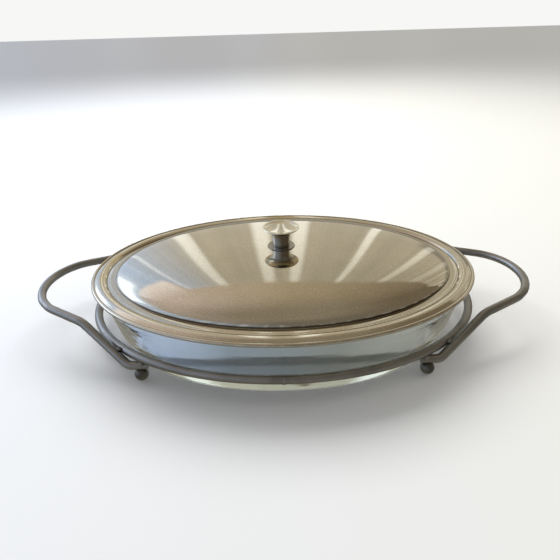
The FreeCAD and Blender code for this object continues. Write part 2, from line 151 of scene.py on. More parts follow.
# ------------------------------------------------------------------ shader helpers
class NodeBench:
    """Small helper that adds and wires nodes in one node tree."""

    def __init__(self, tree: bpy.types.NodeTree) -> None:
        """Keep the tree that nodes are added to."""
        self.tree = tree

    def add(self, kind: str, **settings: object) -> bpy.types.Node:
        """Add a node and set its plain properties.

        Args:
            kind: Blender's name of the node.
            settings: Plain properties of the node.

        Returns:
            The new node.
        """
        node = self.tree.nodes.new(kind)
        for key, value in settings.items():
            setattr(node, key, value)
        return node

    def wire(self, source: Socket, target: Socket) -> None:
        """Join two sockets."""
        self.tree.links.new(source, target)

    def feed(self, value: object, target: Socket) -> None:
        """Set a socket from a number or wire it from another socket.

        Args:
            value: Number, colour or socket.
            target: Socket that takes it.
        """
        if isinstance(value, Socket):
            self.wire(value, target)
        else:
            target.default_value = value

    def math(self, operation: str, first: object, second: object = 0.5, clamp: bool = False) -> Socket:
        """Math node on two values.

        Args:
            operation: Blender's name of the operation.
            first: Number or socket.
            second: Number or socket.
            clamp: Keep the result between 0 and 1.

        Returns:
            The result socket.
        """
        node = self.add("ShaderNodeMath", operation=operation, use_clamp=clamp)
        self.feed(first, node.inputs[0])
        self.feed(second, node.inputs[1])
        return node.outputs[0]

    def remap(self, value: object, low: float, high: float, out_low: float = 0.0, out_high: float = 1.0
              ) -> Socket:
        """Smoothly map a value from one range to another.

        Args:
            value: Number or socket.
            low: Start of the input range.
            high: End of the input range.
            out_low: Result at the start.
            out_high: Result at the end.

        Returns:
            The mapped value.
        """
        node = self.add("ShaderNodeMapRange", interpolation_type="SMOOTHSTEP")
        self.feed(value, node.inputs["Value"])
        limits = {"From Min": low, "From Max": high, "To Min": out_low, "To Max": out_high}
        for name, number in limits.items():
            node.inputs[name].default_value = number
        return node.outputs["Result"]

    def mix(self, factor: object, first: object, second: object) -> Socket:
        """Blend two colours by a factor.

        Args:
            factor: Share of the second colour.
            first: First value or socket.
            second: Second value or socket.

        Returns:
            The blended colour.
        """
        node = self.add("ShaderNodeMix", data_type="RGBA")
        self.feed(factor, node.inputs[0])
        self.feed(first, node.inputs[6])
        self.feed(second, node.inputs[7])
        return node.outputs[2]

    def scale(self, colour: object, amount: object) -> Socket:
        """Multiply a colour by an amount.

        Args:
            colour: Colour or socket.
            amount: Number or socket to multiply by.

        Returns:
            The scaled colour.
        """
        node = self.add("ShaderNodeVectorMath", operation="SCALE")
        self.feed(colour, node.inputs[0])
        self.feed(amount, node.inputs["Scale"])
        return node.outputs[0]

    def join(self, first: object, second: object) -> Socket:
        """Add two colours.

        Args:
            first: First value or socket.
            second: Second value or socket.

        Returns:
            The sum.
        """
        node = self.add("ShaderNodeVectorMath", operation="ADD")
        self.feed(first, node.inputs[0])
        self.feed(second, node.inputs[1])
        return node.outputs[0]

    def ramp(self, value: object, stops: Stops) -> Socket:
        """Read a colour off a run of colours.

        Args:
            value: Number or socket between 0 and 1.
            stops: Places along the run, each with its colour.

        Returns:
            The colour at the value.
        """
        node = self.add("ShaderNodeValToRGB")
        self.feed(value, node.inputs["Fac"])
        elements = node.color_ramp.elements
        while len(elements) < len(stops):
            elements.new(1.0)
        for element, (place, colour) in zip(elements, stops):
            element.position = place
            element.color = rgba(colour)
        return node.outputs["Color"]

    def noise(self, vector: object, scale: float, detail: float = 3.0, rough: float = 0.55) -> Socket:
        """Noise value over a vector.

        Args:
            vector: Position or socket.
            scale: Fineness of the noise.
            detail: Layers of finer noise.
            rough: Weight of the finer layers.

        Returns:
            The noise value.
        """
        node = self.add("ShaderNodeTexNoise")
        self.feed(vector, node.inputs["Vector"])
        node.inputs["Scale"].default_value = scale
        node.inputs["Detail"].default_value = detail
        node.inputs["Roughness"].default_value = rough
        return node.outputs["Fac"]

    def place(self) -> Socket:
        """Position on the piece, in metres."""
        return self.add("ShaderNodeTexCoord").outputs["Object"]

    def stretch(self, vector: object, scale: Tuple[float, float, float]) -> Socket:
        """Scale a position along each axis.

        Args:
            vector: Position or socket.
            scale: Factor along each axis.

        Returns:
            The scaled position.
        """
        node = self.add("ShaderNodeMapping")
        self.feed(vector, node.inputs["Vector"])
        node.inputs["Scale"].default_value = scale
        return node.outputs["Vector"]


def rgba(colour: Colour) -> Tuple[float, float, float, float]:
    """Colour with full alpha."""
    return (colour[0], colour[1], colour[2], 1.0)


class EffectShelf:
    """Shader node groups that more than one finish uses, each made once."""

    def __init__(self) -> None:
        """Start with an empty shelf."""
        self.made: Dict[str, bpy.types.NodeTree] = {}

    def fetch(self, name: str, inputs: Dict[str, float], outputs: Sequence[str],
              fill: Callable[[NodeBench, Sockets, Sockets], None]
              ) -> bpy.types.NodeTree:
        """Return the named group, building it the first time.

        Args:
            name: Name of the group.
            inputs: Input names with their usual values.
            outputs: Output names.
            fill: Function that adds the group's nodes.

        Returns:
            The node group.
        """
        if name in self.made:
            return self.made[name]
        tree = bpy.data.node_groups.new(name, "ShaderNodeTree")
        tree.interface.new_socket("Vector", in_out="INPUT", socket_type="NodeSocketVector")
        for key, value in inputs.items():
            socket = tree.interface.new_socket(key, in_out="INPUT", socket_type="NodeSocketFloat")
            socket.default_value = value
        for key in outputs:
            tree.interface.new_socket(key, in_out="OUTPUT", socket_type="NodeSocketFloat")
        bench = NodeBench(tree)
        entry = bench.add("NodeGroupInput")
        leave = bench.add("NodeGroupOutput")
        fill(bench, {s.name: s for s in entry.outputs if s.name}, {s.name: s for s in leave.inputs if s.name})
        self.made[name] = tree
        return tree

    def water_spots(self) -> bpy.types.NodeTree:
        """Dried drops: small rings and dots, denser in patches.

        Returns:
            The node group.
        """

        def fill(b: NodeBench, i: Sockets, o: Sockets) -> None:
            """Add the nodes of the group.

            Args:
                b: Bench of the group.
                i: The group's inputs by name.
                o: The group's outputs by name.
            """
            cells = b.add("ShaderNodeTexVoronoi", feature="F1")
            b.wire(i["Vector"], cells.inputs["Vector"])
            b.wire(i["Scale"], cells.inputs["Scale"])
            pick = b.add("ShaderNodeSeparateColor")
            b.wire(cells.outputs["Color"], pick.inputs[0])
            size = b.math("MULTIPLY", pick.outputs[0], 0.30)
            inside = b.math("SUBTRACT", size, cells.outputs["Distance"])
            dot = b.remap(inside, 0.0, 0.06)
            patch = b.add("ShaderNodeTexNoise")
            b.wire(i["Vector"], patch.inputs["Vector"])
            patch.inputs["Scale"].default_value = 14.0
            patch.inputs["Detail"].default_value = 2.0
            where = b.remap(patch.outputs["Fac"], 0.50, 0.62)
            some = b.math("GREATER_THAN", pick.outputs[1], 0.45)
            b.wire(b.math("MULTIPLY", b.math("MULTIPLY", dot, where), some), o["Mask"])

        return self.fetch("WaterSpots", {"Scale": 320.0}, ["Mask"], fill)

    def wipe_marks(self) -> bpy.types.NodeTree:
        """Soft cloth marks and hairline scratches left by wiping.

        Returns:
            The node group.
        """

        def fill(b: NodeBench, i: Sockets, o: Sockets) -> None:
            """Add the nodes of the group.

            Args:
                b: Bench of the group.
                i: The group's inputs by name.
                o: The group's outputs by name.
            """
            bend = b.noise(i["Vector"], 9.0, 2.0)
            push = b.add("ShaderNodeVectorMath", operation="SCALE")
            b.wire(i["Vector"], push.inputs[0])
            b.wire(b.math("ADD", bend, 0.6), push.inputs["Scale"])
            cloth = b.noise(b.stretch(push.outputs[0], (22.0, 60.0, 30.0)), 1.0, 4.0)
            b.wire(b.remap(cloth, 0.42, 0.70), o["Smear"])
            hair = b.noise(b.stretch(push.outputs[0], (60.0, 2600.0, 900.0)), 1.0, 2.0, 0.4)
            b.wire(b.remap(hair, 0.60, 0.72), o["Hairline"])
            fine = b.add("ShaderNodeTexNoise")
            b.wire(i["Vector"], fine.inputs["Vector"])
            b.wire(i["Grain Scale"], fine.inputs["Scale"])
            fine.inputs["Detail"].default_value = 2.0
            b.wire(fine.outputs["Fac"], o["Grain"])

        return self.fetch("WipeMarks", {"Grain Scale": 900.0}, ["Smear", "Hairline", "Grain"], fill)

    def settled_grime(self) -> bpy.types.NodeTree:
        """Darkening that gathers in patches and fine specks.

        Returns:
            The node group.
        """

        def fill(b: NodeBench, i: Sockets, o: Sockets) -> None:
            """Add the nodes of the group.

            Args:
                b: Bench of the group.
                i: The group's inputs by name.
                o: The group's outputs by name.
            """
            broad = b.add("ShaderNodeTexNoise")
            b.wire(i["Vector"], broad.inputs["Vector"])
            b.wire(i["Patch Scale"], broad.inputs["Scale"])
            broad.inputs["Detail"].default_value = 4.0
            b.wire(b.remap(broad.outputs["Fac"], 0.38, 0.72), o["Patches"])
            speck = b.noise(i["Vector"], 1500.0, 1.0)
            b.wire(b.remap(speck, 0.66, 0.74), o["Specks"])

        return self.fetch("SettledGrime", {"Patch Scale": 40.0}, ["Patches", "Specks"], fill)


SHELF = EffectShelf()


@dataclass(frozen=True)
class MetalFinish:
    """Steel surface: colour, gloss, cloth marks, grime and dried drops."""

    name: str
    colour: Colour
    shade: Colour
    roughness: float
    smear: float = 0.05
    hairline: float = 0.05
    grain: float = 0.02
    grime: float = 0.3
    spots: float = 0.0
    bump: float = 0.02
    speckle: float = 0.2
    grain_scale: float = 900.0
    patch_scale: float = 40.0

    def effect(self, bench: NodeBench, tree: bpy.types.NodeTree, where: Socket, **values: float
               ) -> bpy.types.Node:
        """Place one shared effect in the material with its own values.

        Args:
            bench: Bench of the node tree.
            tree: Node group of the effect.
            where: Position on the piece.
            values: Values of its inputs.

        Returns:
            The group's node.
        """
        node = bench.add("ShaderNodeGroup", node_tree=tree)
        bench.wire(where, node.inputs["Vector"])
        for key, value in values.items():
            node.inputs[key.replace("_", " ")].default_value = value
        return node

    def extra_colour(self, bench: NodeBench, where: Socket, colour: Socket
                     ) -> Socket:
        """Room for a finish to add its own colouring; plain steel adds none."""
        return colour

    def make(self) -> bpy.types.Material:
        """Build the material.

        Returns:
            The finished node material.
        """
        material = bpy.data.materials.new(self.name)
        material.use_nodes = True
        bench = NodeBench(material.node_tree)
        shader = material.node_tree.nodes["Principled BSDF"]
        shader.inputs["Metallic"].default_value = 1.0
        where = bench.place()
        marks = self.effect(bench, SHELF.wipe_marks(), where, Grain_Scale=self.grain_scale)
        grime = self.effect(bench, SHELF.settled_grime(), where, Patch_Scale=self.patch_scale)
        drops = self.effect(bench, SHELF.water_spots(), where)
        dulled = bench.math("MULTIPLY", grime.outputs["Patches"], self.grime)
        speckled = bench.math("MULTIPLY", grime.outputs["Specks"], self.grime * 0.6)
        colour = bench.mix(bench.math("ADD", dulled, speckled, True), rgba(self.colour), rgba(self.shade))
        pale = bench.math("MULTIPLY", drops.outputs["Mask"], self.spots)
        colour = bench.mix(pale, colour, rgba(tuple(min(1.0, c * 1.18 + 0.04) for c in self.colour)))
        grainy = bench.math("MULTIPLY", bench.remap(marks.outputs["Grain"], 0.35, 0.65), self.speckle)
        colour = bench.mix(grainy, colour, rgba(tuple(c * 0.72 for c in self.colour)))
        bench.wire(self.extra_colour(bench, where, colour), shader.inputs["Base Color"])
        rough = bench.math("MULTIPLY_ADD", marks.outputs["Smear"], self.smear)
        rough.node.inputs[2].default_value = self.roughness
        for source, amount in (
                (marks.outputs["Hairline"], self.hairline), (marks.outputs["Grain"], self.grain),
                (drops.outputs["Mask"], self.spots * 0.3)):
            rough = bench.math("ADD", rough, bench.math("MULTIPLY", source, amount))
        bench.wire(rough, shader.inputs["Roughness"])
        scratched = bench.math("MULTIPLY", marks.outputs["Hairline"], 0.6)
        height = bench.math("SUBTRACT", marks.outputs["Grain"], scratched)
        bump = bench.add("ShaderNodeBump")
        bump.inputs["Strength"].default_value = self.bump
        bump.inputs["Distance"].default_value = 0.0004
        bench.wire(height, bump.inputs["Height"])
        bench.wire(bump.outputs["Normal"], shader.inputs["Normal"])
        return material


@dataclass(frozen=True)
class LidFinish(MetalFinish):
    """Polished lid: brim mottled and tinted gold at one side by heat, with painted shade in its creases and
    round the knob's disc.
    """

    gold: Colour = (0.62, 0.47, 0.22)
    mottle: Colour = (0.48, 0.43, 0.34)
    # painted shade colour for the brim's creases and the ring round the knob's disc
    painted_crease_shade: Colour = (0.10, 0.085, 0.06)
    creases: Tuple[Tuple[float, float], ...] = ((20.5, 0.55), (13.2, 0.55), (2.8, 0.45))
    half_x: float = 0.170
    half_y: float = 0.120

    def extra_colour(self, bench: NodeBench, where: Socket, colour: Socket
                     ) -> Socket:
        """Tint the brim, mottle its flat ring and paint shade into the creases and round the knob's disc.

        Args:
            bench: Bench of the material.
            where: Position on the lid.
            colour: Colour so far.

        Returns:
            Colour with the brim's heat tint, mottling and painted shade in the creases and round the disc.
        """
        split = bench.add("ShaderNodeSeparateXYZ")
        bench.wire(where, split.inputs[0])
        across = bench.math("DIVIDE", split.outputs["X"], self.half_x)
        deep = bench.math("DIVIDE", split.outputs["Y"], self.half_y)
        inset = self.inset(bench, across, deep)
        brim = bench.remap(inset, 20.6, 19.8)
        fine = bench.remap(bench.noise(where, 420.0, 4.0, 0.7), 0.38, 0.66)
        flat = bench.math("MULTIPLY", brim, bench.remap(inset, 12.5, 13.5))
        mottled = bench.math("MULTIPLY", bench.math("MULTIPLY", fine, flat), 0.35)
        colour = bench.mix(mottled, colour, rgba(self.mottle))
        corner = bench.math("SUBTRACT", deep, across)
        warm = bench.math("MULTIPLY", bench.remap(corner, 0.35, 1.2), bench.remap(inset, 14.0, 10.0))
        cloud = bench.remap(bench.noise(where, 30.0, 3.0), 0.35, 0.65)
        gilded = bench.math("MULTIPLY", bench.math("MULTIPLY", warm, cloud), 0.75)
        colour = bench.mix(gilded, colour, rgba(self.gold))
        # painted shade: dark thin lines round the knob's disc and along the brim's creases
        round_knob = bench.add("ShaderNodeVectorMath", operation="LENGTH")
        level = bench.stretch(where, (1000.0, 1000.0, 0.0))
        bench.wire(level, round_knob.inputs[0])
        painted_crease_shade = self.line(bench, round_knob.outputs["Value"], 12.1, 0.35)
        for middle, width in self.creases:
            painted_crease_shade = bench.math("MAXIMUM", painted_crease_shade, self.line(bench, inset, middle, width))
        return bench.mix(bench.math("MULTIPLY", painted_crease_shade, 0.85), colour, rgba(self.painted_crease_shade))

    def inset(self, bench: NodeBench, across: Socket, deep: Socket
              ) -> Socket:
        """Distance inside the lid's outer edge, in millimetres.

        Args:
            bench: Bench of the material.
            across: Place along the lid, 1 at its end.
            deep: Place across the lid, 1 at its side.

        Returns:
            The distance, nearly exact over the brim.
        """
        square = bench.math("ADD", bench.math("POWER", across, 2.0), bench.math("POWER", deep, 2.0))
        reach = bench.math("SQRT", square)
        steep_x = bench.math("POWER", bench.math("DIVIDE", across, self.half_x), 2.0)
        steep_y = bench.math("POWER", bench.math("DIVIDE", deep, self.half_y), 2.0)
        steep = bench.math("DIVIDE", bench.math("SQRT", bench.math("ADD", steep_x, steep_y)), reach)
        return bench.math("DIVIDE", bench.math("MULTIPLY", bench.math("SUBTRACT", 1.0, reach), 1000.0), steep)

    def line(self, bench: NodeBench, value: object, middle: float, width: float) -> Socket:
        """Mask of a thin line where a value is near its middle."""
        away = bench.math("ABSOLUTE", bench.math("SUBTRACT", value, middle))
        return bench.remap(away, width, width * 0.3)


@dataclass(frozen=True)
class KnobFinish(MetalFinish):
    """Polished knob, with painted shade darkening its neck under the head."""

    # painted shade colour for the neck, standing in for the dark reflection it shows
    neck: Colour = (0.24, 0.225, 0.205)

    def extra_colour(self, bench: NodeBench, where: Socket, colour: Socket
                     ) -> Socket:
        """Darken the neck under the knob's head with painted shade.

        Args:
            bench: Bench of the material.
            where: Position on the knob.
            colour: Colour so far.

        Returns:
            Colour with the painted shade on the neck.
        """
        low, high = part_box("knob")
        tall = high[2] - low[2]
        split = bench.add("ShaderNodeSeparateXYZ")
        bench.wire(where, split.inputs[0])
        # painted shade: darker towards the neck below the knob's head
        painted_neck_shade = bench.remap(split.outputs["Z"], low[2] + 0.92 * tall, low[2] + 0.72 * tall)
        return bench.mix(bench.math("MULTIPLY", painted_neck_shade, 0.8), colour, rgba(self.neck))


@dataclass(frozen=True)
class GlassFinish:
    """Clear pressed glass with a faint tint, light smears and a rippled skin."""

    name: str = "ClearGlass"
    tint: Colour = (0.965, 0.985, 0.99)
    haze: Colour = (0.90, 0.94, 0.95)
    shadow: Colour = (0.90, 0.93, 0.92)
    roughness: float = 0.015

    def make(self) -> bpy.types.Material:
        """Build the material.

        Returns:
            The finished node material.
        """
        material = bpy.data.materials.new(self.name)
        material.use_nodes = True
        bench = NodeBench(material.node_tree)
        shader = material.node_tree.nodes["Principled BSDF"]
        shader.inputs["Transmission Weight"].default_value = 1.0
        shader.inputs["IOR"].default_value = 1.50
        where = bench.place()
        smear = bench.remap(bench.noise(bench.stretch(where, (18.0, 18.0, 70.0)), 1.0, 4.0), 0.48, 0.75)
        bench.wire(bench.mix(bench.math("MULTIPLY", smear, 0.5), rgba(self.tint), rgba(self.haze)),
                   shader.inputs["Base Color"])
        rough = bench.math("ADD", bench.math("MULTIPLY", smear, 0.05), self.roughness)
        bench.wire(rough, shader.inputs["Roughness"])
        bump = bench.add("ShaderNodeBump")
        bump.inputs["Strength"].default_value = 0.10
        bump.inputs["Distance"].default_value = 0.002
        bench.wire(bench.noise(bench.stretch(where, (26.0, 26.0, 60.0)), 1.0, 2.0), bump.inputs["Height"])
        bench.wire(bump.outputs["Normal"], shader.inputs["Normal"])
        clear = bench.add("ShaderNodeBsdfTransparent")
        clear.inputs["Color"].default_value = rgba(self.shadow)
        blend = bench.add("ShaderNodeMixShader")
        path = bench.add("ShaderNodeLightPath")
        late = bench.math("MULTIPLY", bench.math("GREATER_THAN", path.outputs["Ray Depth"], 5.5), 0.3)
        deep = bench.math("MAXIMUM", late, bench.math("GREATER_THAN", path.outputs["Glossy Depth"], 2.5))
        bench.wire(bench.math("MAXIMUM", path.outputs["Is Shadow Ray"], deep), blend.inputs[0])
        bench.wire(shader.outputs[0], blend.inputs[1])
        bench.wire(clear.outputs[0], blend.inputs[2])
        bench.wire(blend.outputs[0], material.node_tree.nodes["Material Output"].inputs["Surface"])
        return material


LID_STEEL = LidFinish("LidSteel", (0.74, 0.69, 0.575), (0.62, 0.56, 0.44), 0.02, smear=0.03, hairline=0.03,
                      grain=0.025, grime=0.35, spots=0.7, bump=0.010, speckle=0.5)
KNOB_STEEL = KnobFinish("KnobSteel", (0.92, 0.885, 0.775), (0.62, 0.59, 0.51), 0.04, smear=0.05, grime=0.3,
                        bump=0.006, spots=0.2)
FIXING_STEEL = MetalFinish("FixingSteel", (0.56, 0.56, 0.55), (0.36, 0.35, 0.33), 0.34, grime=0.5, bump=0.05)
WIRE_STEEL = MetalFinish("WireSteel", (0.40, 0.395, 0.38), (0.22, 0.215, 0.195), 0.24, smear=0.10,
                         hairline=0.12, grain=0.12, grime=0.55, spots=0.15, bump=0.10, grain_scale=1600.0,
                         patch_scale=55.0)
BALL_STEEL = MetalFinish("BallSteel", (0.21, 0.21, 0.19), (0.10, 0.095, 0.08), 0.30, smear=0.08, grain=0.10,
                         grime=0.7, bump=0.10, grain_scale=1400.0, patch_scale=120.0)
WELD_METAL = MetalFinish("WeldMetal", (0.42, 0.41, 0.385), (0.25, 0.24, 0.215), 0.38, smear=0.1, grain=0.2,
                         grime=0.8, bump=0.3, grain_scale=900.0, patch_scale=200.0)
CLEAR_GLASS = GlassFinish()


def dress(node: str, material: bpy.types.Material) -> None:
    """Give a carried-over CAD node its finish.

    Args:
        node: Name of the CAD node.
        material: Finish of the piece.
    """
    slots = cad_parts[node].material_slots
    if not slots:
        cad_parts[node].data.materials.append(material)
    for slot in slots:
        slot.material = material
    LOG.info("%s dressed in %s", node, material.name)


def seat(piece: bpy.types.Object, body: str, slot: str, material: bpy.types.Material, *nodes: str) -> None:
    """Finish a new piece, let it ride on its body and stand in for its nodes.

    Args:
        piece: The new object.
        body: Body that it moves with.
        slot: Material slot of the record; not used.
        material: Its finish.
        nodes: Nodes that it replaces.
    """
    piece.data.materials.append(material)
    if nodes:
        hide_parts(*nodes)
    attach(piece, body)
    LOG.info("%s made for %s", piece.name, ", ".join(nodes) or body)


# ------------------------------------------------------------------ the lid
@dataclass
class DomedLid:
    """Pressed oval cover with its knob and fixings. Sizes in metres."""

    sheet: float = 1.0 * MM
    hem: float = 1.6 * MM
    hem_drop: float = 2.4 * MM
    bead_crown: float = 7.5 * MM
    flat_drop: float = 2.1 * MM
    brim: float = 20.5 * MM
    segments: int = 288
    dome_rows: int = 56
    knob_segments: int = 96
    low: Vector = field(init=False)
    high: Vector = field(init=False)

    def __post_init__(self) -> None:
        """Read the lid's place from the frame."""
        low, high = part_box("lid_shell")
        self.low, self.high = Vector(low), Vector(high)

    @property
    def crown_z(self) -> float:
        """Height of the top of the bead."""
        return self.low.z + self.hem + self.hem_drop

    def brim_rings(self, section: Sequence[Tuple[float, float]]) -> List[Ring]:
        """Carry a section of (inset, height) round the oval at an even inset.

        Args:
            section: Points as (inset, height).

        Returns:
            One ring for each point.
        """
        rings = []
        for inset, z in section:
            ring = []
            for i in range(self.segments):
                turn = 2.0 * math.pi * i / self.segments
                cos, sin = math.cos(turn), math.sin(turn)
                out = Vector((cos / self.high.x, sin / self.high.y, 0)).normalized()
                ring.append(Vector((self.high.x * cos, self.high.y * sin, z)) - out * inset)
            rings.append(ring)
        return rings

    def dome_rings(self, drop: float) -> List[Ring]:
        """Rings of the dome from its foot to its top, moved inwards by drop.

        Args:
            drop: Distance that the rings are moved inwards.

        Returns:
            The rings, lowest first.
        """
        half_x = self.high.x - self.brim - drop
        half_y = self.high.y - self.brim - drop
        foot = self.crown_z - self.flat_drop - drop
        rise = self.high.z - drop - foot
        rings = []
        for row in range(self.dome_rows):
            lean = (math.pi / 2.0) * (1.0 - (row + 0.35) / self.dome_rows)
            wide, tall = math.sin(lean), math.cos(lean)
            rings.append([
                Vector((half_x * wide * math.cos(2 * math.pi * i / self.segments),
                        half_y * wide * math.sin(2 * math.pi * i / self.segments),
                        foot + rise * tall))
                for i in range(self.segments)])
        return rings

    def outer_section(self) -> List[Tuple[float, float]]:
        """Outside of the brim from the rolled hem to the foot of the dome.

        Returns:
            Points as (inset, height).
        """
        crown = self.crown_z
        middle = crown - self.hem_drop
        flat = crown - self.flat_drop
        inset = self.bead_crown
        skin = smooth_run([
            (2.85 * MM, crown - 1.40 * MM), (3.0 * MM, crown - 1.34 * MM),
            (inset - 3.4 * MM, crown - 0.92 * MM), (inset - 1.8 * MM, crown - 0.30 * MM), (inset, crown),
            (inset + 3.4 * MM, crown - 0.5 * MM), (inset + 5.1 * MM, crown - 1.8 * MM),
            (inset + 5.9 * MM, crown - 2.35 * MM), (inset + 8.8 * MM, flat), (self.brim - 0.9 * MM, flat)], 5)
        curl = arc((self.hem, middle), self.hem, 385.0, 180.0, 22)
        lift = arc((self.hem, middle), self.hem, 180.0, 46.0, 16)[1:]
        corner = [(self.brim - 0.4 * MM, flat + 0.03 * MM), (self.brim - 0.12 * MM, flat + 0.2 * MM)]
        return curl + lift + skin + corner

    def inner_section(self) -> List[Tuple[float, float]]:
        """Underside of the brim from under the dome back to the hem.

        Returns:
            Points as (inset, height).
        """
        crown = self.crown_z - self.sheet
        flat = self.crown_z - self.flat_drop - self.sheet
        inset = self.bead_crown
        return smooth_run([
            (self.brim + 0.8 * MM, flat), (inset + 8.8 * MM, flat), (inset + 5.2 * MM, crown - 2.3 * MM),
            (inset + 4.3 * MM, crown - 1.5 * MM), (inset + 2.9 * MM, crown - 0.45 * MM), (inset, crown),
            (inset - 3.2 * MM, crown - 0.55 * MM), (self.hem * 2 - 0.2 * MM, crown - 0.9 * MM)], 4)

    def make_cover(self, material: bpy.types.Material) -> None:
        """Build the cover and put it in place of its CAD node.

        Args:
            material: Finish of the piece.
        """
        outside = self.brim_rings(self.outer_section()) + self.dome_rings(0.0)
        inside = self.dome_rings(self.sheet)[::-1] + self.brim_rings(self.inner_section())
        cover = ring_mesh("lid_cover", outside, False, True)
        under = ring_mesh("lid_lining", inside, True, False)
        seat(cover, "lid", "lid_steel", material, "lid_shell")
        seat(under, "lid", "lid_steel", material)

    def make_knob(self, material: bpy.types.Material) -> None:
        """Turn the knob with its foot, narrow neck, flare and hollow top.

        Args:
            material: Finish of the piece.
        """
        low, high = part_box("knob")
        rim = high[0]
        base, top = low[2], high[2]
        side = [(6.6 * MM, base), (7.25 * MM, base + 0.05 * MM), (7.35 * MM, base + 0.35 * MM)]
        side += smooth_run([
            (7.4 * MM, base + 0.6 * MM), (7.45 * MM, base + 3.0 * MM), (7.58 * MM, base + 6.0 * MM),
            (7.82 * MM, base + 8.5 * MM), (8.3 * MM, base + 11.0 * MM), (9.3 * MM, base + 13.0 * MM),
            (11.2 * MM, base + 14.8 * MM), (13.5 * MM, base + 15.95 * MM),
            (rim - 0.25 * MM, top - 0.95 * MM)], 6)
        side += arc((rim - 0.5 * MM, top - 0.5 * MM), 0.5 * MM, -50.0, 100.0, 8)
        side += smooth_run([
            (rim - 1.3 * MM, top - 0.12 * MM), (12.0 * MM, top - 1.05 * MM), (8.0 * MM, top - 1.9 * MM),
            (4.0 * MM, top - 2.42 * MM), (0.4 * MM, top - 2.6 * MM)], 6)
        turns = [2 * math.pi * i / self.knob_segments for i in range(self.knob_segments)]
        rings = [[Vector((r * math.cos(turn), r * math.sin(turn), z)) for turn in turns] for r, z in side]
        seat(ring_mesh("turned_knob", rings, True, True), "lid", "knob_steel", material, "knob")

    def build(self) -> None:
        """Make and dress every piece of the lid."""
        self.make_cover(LID_STEEL.make())
        knob = KNOB_STEEL.make()
        self.make_knob(knob)
        dress("knob_base_disc", knob)
        fixing = FIXING_STEEL.make()
        for node in ("knob_washer", "knob_lock_washer", "knob_screw"):
            dress(node, fixing)


# ------------------------------------------------------------------ the glass dish
@dataclass
class GlassDish:
    """Pressed oval dish with a flared rim. Sizes in metres."""

    # levels as (inset at the ends, inset at the sides, height, squareness), the first three in millimetres
    wall: Tuple[Tuple[float, float, float, float], ...] = (
        (20.7, 7.6, 0.0, 2.1), (18.6, 5.5, 0.35, 2.1), (17.2, 4.2, 1.4, 2.1), (16.4, 3.5, 3.2, 2.1),
        (15.6, 3.1, 6.0, 2.1), (12.2, 2.05, 17.7, 2.1), (9.2, 1.5, 27.5, 2.08), (7.3, 1.0, 33.5, 2.06),
        (6.2, 0.82, 36.5, 2.05), (3.6, 0.5, 39.6, 2.02), (1.1, 0.15, 42.2, 2.0), (0.15, 0.02, 44.2, 2.0),
        (0.0, 0.0, 46.6, 2.0), (0.25, 0.25, 48.3, 2.0), (0.9, 0.9, 49.25, 2.0), (2.0, 2.0, 49.6, 2.0))
    hollow: Tuple[Tuple[float, float, float, float], ...] = (
        (2.0, 2.0, 49.6, 2.0), (3.0, 3.0, 49.6, 2.0), (4.1, 4.1, 49.25, 2.0), (4.75, 4.75, 48.3, 2.0),
        (5.0, 5.0, 46.6, 2.0), (5.1, 5.05, 43.0, 2.0), (6.6, 5.3, 40.4, 2.02), (9.6, 5.7, 37.4, 2.04),
        (11.7, 5.95, 34.4, 2.06), (14.6, 6.5, 27.5, 2.08), (17.5, 7.05, 17.7, 2.1), (19.6, 7.8, 12.0, 2.1),
        (21.2, 9.0, 8.6, 2.1), (23.4, 11.2, 6.8, 2.1), (26.4, 14.2, 6.1, 2.1), (30.0, 18.0, 6.0, 2.1))
    wall_steps: int = 4
    floor: float = 6.0 * MM
    floor_rings: Tuple[float, ...] = (0.8, 0.55, 0.3, 0.1)
    segments: int = 256
    low: Vector = field(init=False)
    high: Vector = field(init=False)

    def __post_init__(self) -> None:
        """Read the dish's place from the frame."""
        low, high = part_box("glass_dish")
        self.low, self.high = Vector(low), Vector(high)

    def outline(self, inset_x: float, inset_y: float, z: float, power: float) -> Ring:
        """One level of the wall.

        Args:
            inset_x: Distance inside the rim at the ends.
            inset_y: Distance inside the rim at the front and back.
            z: Height.
            power: 2 for an ellipse, more for a squarer oval.

        Returns:
            The closed ring.
        """
        ring = []
        for i in range(self.segments):
            turn = 2.0 * math.pi * i / self.segments
            cos, sin = math.cos(turn), math.sin(turn)
            x = (self.high.x - inset_x) * math.copysign(abs(cos) ** (2.0 / power), cos)
            y = (self.high.y - inset_y) * math.copysign(abs(sin) ** (2.0 / power), sin)
            ring.append(Vector((x, y, z)))
        return ring

    def build(self) -> None:
        """Make the dish as one closed glass skin."""
        base = self.low.z
        outside = [(x * MM, y * MM, z * MM, power) for x, y, z, power in self.wall]
        top = base + outside[-1][2]
        rings: List[Ring] = []
        for inset_x, inset_y, z, power in smooth_run(outside, self.wall_steps)[:-1]:
            rings.append(self.outline(max(inset_x, 0.0), max(inset_y, 0.0), base + max(z, 0.0), power))
        for inset_x, inset_y, z, power in self.hollow:
            rings.append(self.outline(inset_x * MM, inset_y * MM, min(base + z * MM, top), power))
        inset_x, inset_y, _, power = self.hollow[-1]
        edge = self.outline(inset_x * MM, inset_y * MM, base + self.floor, power)
        for share in self.floor_rings:
            rings.append([Vector((p.x * share, p.y * share, p.z)) for p in edge])
        dish = ring_mesh("pressed_glass_dish", rings, True, True)
        seat(dish, "dish", "clear_glass", CLEAR_GLASS.make(), "glass_dish")


